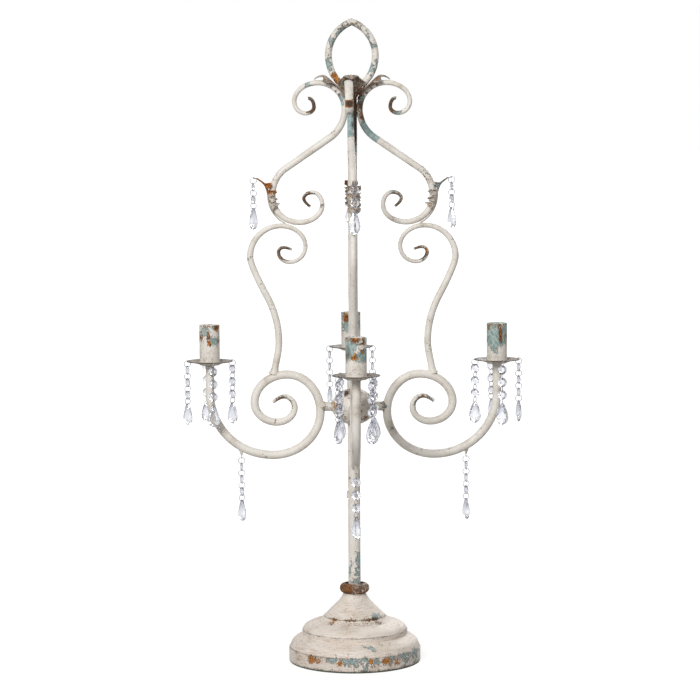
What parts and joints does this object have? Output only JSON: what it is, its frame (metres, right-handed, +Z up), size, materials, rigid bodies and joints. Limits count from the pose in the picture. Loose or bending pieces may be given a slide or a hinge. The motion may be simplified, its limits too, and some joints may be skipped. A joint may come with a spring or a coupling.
{
  "type": "tabletop chandelier",
  "caption": "Distressed cream-painted iron tabletop chandelier with scrolled arms, candle cups on drip plates and hanging crystal strands.",
  "frame": {"origin": "on the table, in the middle of the base", "axes": "+Z up along the stem, +X along the right arm, -Y along the arm that faces the viewer"},
  "size_m": [0.462, 0.4572, 0.874],
  "materials": {
    "cream_paint": "satin",
    "rusted_paint": "matte",
    "teal_paint": "matte",
    "crystal": "gloss",
    "iron": "rough",
    "felt": "matte",
    "steel": "satin"
  },
  "bodies": {
    "candelabrum": {"base_shell": "cream_paint", "base_weight": "iron", "felt_pad": "felt", "base_nut": "steel", "base_collar": "rusted_paint", "lower_post": "teal_paint", "upper_post": "teal_paint", "hub": "cream_paint", "spacer_bars": "cream_paint", "arm_hooks": "rusted_paint", "crown_leaves": "rusted_paint", "finial_loop": "cream_paint", "right_lower_arm": "cream_paint", "back_lower_arm": "cream_paint", "left_lower_arm": "cream_paint", "front_lower_arm": "cream_paint", "right_middle_scroll": "cream_paint", "back_middle_scroll": "cream_paint", "left_middle_scroll": "cream_paint", "front_middle_scroll": "cream_paint", "right_upper_scroll": "cream_paint", "back_upper_scroll": "cream_paint", "left_upper_scroll": "cream_paint", "front_upper_scroll": "cream_paint", "right_drip_plate": "cream_paint", "back_drip_plate": "cream_paint", "left_drip_plate": "cream_paint", "front_drip_plate": "cream_paint", "right_candle_cup": "teal_paint", "back_candle_cup": "teal_paint", "left_candle_cup": "teal_paint", "front_candle_cup": "teal_paint", "right_leaf_clasp": "rusted_paint", "back_leaf_clasp": "rusted_paint", "left_leaf_clasp": "rusted_paint", "front_leaf_clasp": "rusted_paint"},
    "right_plate_strand_a": {"right_plate_strand_a": "crystal"},
    "right_plate_strand_b": {"right_plate_strand_b": "crystal"},
    "right_plate_strand_c": {"right_plate_strand_c": "crystal"},
    "right_plate_strand_d": {"right_plate_strand_d": "crystal"},
    "right_arm_strand": {"right_arm_strand": "crystal"},
    "right_leaf_strand": {"right_leaf_strand": "crystal"},
    "back_plate_strand_a": {"back_plate_strand_a": "crystal"},
    "back_plate_strand_b": {"back_plate_strand_b": "crystal"},
    "back_plate_strand_c": {"back_plate_strand_c": "crystal"},
    "back_plate_strand_d": {"back_plate_strand_d": "crystal"},
    "back_arm_strand": {"back_arm_strand": "crystal"},
    "back_leaf_strand": {"back_leaf_strand": "crystal"},
    "left_plate_strand_a": {"left_plate_strand_a": "crystal"},
    "left_plate_strand_b": {"left_plate_strand_b": "crystal"},
    "left_plate_strand_c": {"left_plate_strand_c": "crystal"},
    "left_plate_strand_d": {"left_plate_strand_d": "crystal"},
    "left_arm_strand": {"left_arm_strand": "crystal"},
    "left_leaf_strand": {"left_leaf_strand": "crystal"},
    "front_plate_strand_a": {"front_plate_strand_a": "crystal"},
    "front_plate_strand_b": {"front_plate_strand_b": "crystal"},
    "front_plate_strand_c": {"front_plate_strand_c": "crystal"},
    "front_plate_strand_d": {"front_plate_strand_d": "crystal"},
    "front_arm_strand": {"front_arm_strand": "crystal"},
    "front_leaf_strand": {"front_leaf_strand": "crystal"}
  },
  "joints": [
    {"name": "right_plate_strand_a_hinge", "type": "hinge", "parent": "candelabrum", "child": "right_plate_strand_a", "pos_m": [0.22518, 0.00532, 0.4129], "axis": [0.1736, -0.9848, 0], "range_deg": [-6, 30]},
    {"name": "right_plate_strand_b_hinge", "type": "hinge", "parent": "candelabrum", "child": "right_plate_strand_b", "pos_m": [0.18968, 0.03018, 0.4129], "axis": [0.9848, 0.1736, 0], "range_deg": [-6, 30]},
    {"name": "right_plate_strand_c_hinge", "type": "hinge", "parent": "candelabrum", "child": "right_plate_strand_c", "pos_m": [0.16482, -0.00532, 0.4129], "axis": [-0.1736, 0.9848, 0], "range_deg": [-6, 15]},
    {"name": "right_plate_strand_d_hinge", "type": "hinge", "parent": "candelabrum", "child": "right_plate_strand_d", "pos_m": [0.20032, -0.03018, 0.4129], "axis": [-0.9848, -0.1736, 0], "range_deg": [-6, 30]},
    {"name": "right_arm_strand_hinge", "type": "hinge", "parent": "candelabrum", "child": "right_arm_strand", "pos_m": [0.153, 0, 0.28107], "axis": [0, -1, 0], "range_deg": [-25, 25]},
    {"name": "right_leaf_strand_hinge", "type": "hinge", "parent": "candelabrum", "child": "right_leaf_strand", "pos_m": [0.13392, 0, 0.66011], "axis": [0, -1, 0], "range_deg": [0, 30]},
    {"name": "back_plate_strand_a_hinge", "type": "hinge", "parent": "candelabrum", "child": "back_plate_strand_a", "pos_m": [0, 0.22565, 0.4129], "axis": [1, 0, 0], "range_deg": [-6, 30]},
    {"name": "back_plate_strand_b_hinge", "type": "hinge", "parent": "candelabrum", "child": "back_plate_strand_b", "pos_m": [-0.03065, 0.195, 0.4129], "axis": [0, 1, 0], "range_deg": [-6, 30]},
    {"name": "back_plate_strand_c_hinge", "type": "hinge", "parent": "candelabrum", "child": "back_plate_strand_c", "pos_m": [0, 0.16435, 0.4129], "axis": [-1, 0, 0], "range_deg": [-6, 15]},
    {"name": "back_plate_strand_d_hinge", "type": "hinge", "parent": "candelabrum", "child": "back_plate_strand_d", "pos_m": [0.03065, 0.195, 0.4129], "axis": [0, -1, 0], "range_deg": [-6, 30]},
    {"name": "back_arm_strand_hinge", "type": "hinge", "parent": "candelabrum", "child": "back_arm_strand", "pos_m": [0, 0.153, 0.28107], "axis": [1, 0, 0], "range_deg": [-25, 25]},
    {"name": "back_leaf_strand_hinge", "type": "hinge", "parent": "candelabrum", "child": "back_leaf_strand", "pos_m": [0, 0.13392, 0.66011], "axis": [1, 0, 0], "range_deg": [0, 30]},
    {"name": "left_plate_strand_a_hinge", "type": "hinge", "parent": "candelabrum", "child": "left_plate_strand_a", "pos_m": [-0.22518, -0.00532, 0.4129], "axis": [-0.1736, 0.9848, 0], "range_deg": [-6, 30]},
    {"name": "left_plate_strand_b_hinge", "type": "hinge", "parent": "candelabrum", "child": "left_plate_strand_b", "pos_m": [-0.18968, -0.03018, 0.4129], "axis": [-0.9848, -0.1736, 0], "range_deg": [-6, 30]},
    {"name": "left_plate_strand_c_hinge", "type": "hinge", "parent": "candelabrum", "child": "left_plate_strand_c", "pos_m": [-0.16482, 0.00532, 0.4129], "axis": [0.1736, -0.9848, 0], "range_deg": [-6, 15]},
    {"name": "left_plate_strand_d_hinge", "type": "hinge", "parent": "candelabrum", "child": "left_plate_strand_d", "pos_m": [-0.20032, 0.03018, 0.4129], "axis": [0.9848, 0.1736, 0], "range_deg": [-6, 30]},
    {"name": "left_arm_strand_hinge", "type": "hinge", "parent": "candelabrum", "child": "left_arm_strand", "pos_m": [-0.153, 0, 0.28107], "axis": [0, 1, 0], "range_deg": [-25, 25]},
    {"name": "left_leaf_strand_hinge", "type": "hinge", "parent": "candelabrum", "child": "left_leaf_strand", "pos_m": [-0.13392, 0, 0.66011], "axis": [0, 1, 0], "range_deg": [0, 30]},
    {"name": "front_plate_strand_a_hinge", "type": "hinge", "parent": "candelabrum", "child": "front_plate_strand_a", "pos_m": [-0.02348, -0.2147, 0.4129], "axis": [-0.6428, 0.766, 0], "range_deg": [-6, 30]},
    {"name": "front_plate_strand_b_hinge", "type": "hinge", "parent": "candelabrum", "child": "front_plate_strand_b", "pos_m": [0.0197, -0.21848, 0.4129], "axis": [-0.766, -0.6428, 0], "range_deg": [-6, 30]},
    {"name": "front_plate_strand_c_hinge", "type": "hinge", "parent": "candelabrum", "child": "front_plate_strand_c", "pos_m": [0.02348, -0.1753, 0.4129], "axis": [0.6428, -0.766, 0], "range_deg": [-6, 30]},
    {"name": "front_plate_strand_d_hinge", "type": "hinge", "parent": "candelabrum", "child": "front_plate_strand_d", "pos_m": [-0.0197, -0.17152, 0.4129], "axis": [0.766, 0.6428, 0], "range_deg": [-6, 30]},
    {"name": "front_arm_strand_hinge", "type": "hinge", "parent": "candelabrum", "child": "front_arm_strand", "pos_m": [0, -0.153, 0.28107], "axis": [-1, 0, 0], "range_deg": [-25, 25]},
    {"name": "front_leaf_strand_hinge", "type": "hinge", "parent": "candelabrum", "child": "front_leaf_strand", "pos_m": [0, -0.13392, 0.66011], "axis": [-1, 0, 0], "range_deg": [0, 30]}
  ]
}
